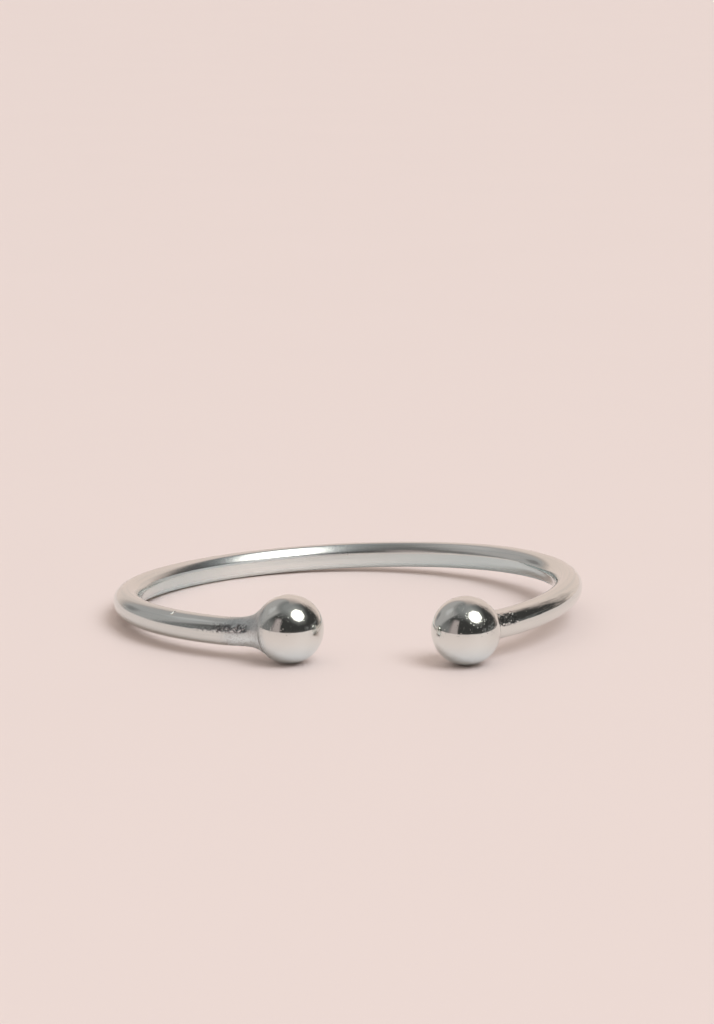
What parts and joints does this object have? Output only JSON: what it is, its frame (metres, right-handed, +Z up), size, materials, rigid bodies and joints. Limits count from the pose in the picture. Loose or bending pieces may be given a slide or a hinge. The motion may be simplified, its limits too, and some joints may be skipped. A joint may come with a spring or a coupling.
{
  "type": "open finger ring",
  "caption": "Open finger ring of round polished silver wire, with a ball soldered on each end and a gap between the balls.",
  "frame": {"origin": "middle of the footprint of the ring lying on its side, on the surface that it rests on", "axes": "+Z up, away from the surface; -Y from the middle of the back of the band to the open side with the balls; +X to the right as seen from the open side"},
  "size_m": [0.0196, 0.0198, 0.0027],
  "materials": {
    "silver": "polished sterling silver, matt and pitted where it is soldered"
  },
  "bodies": {
    "root": {"ball_ended_band": "silver"}
  },
  "joints": []
}
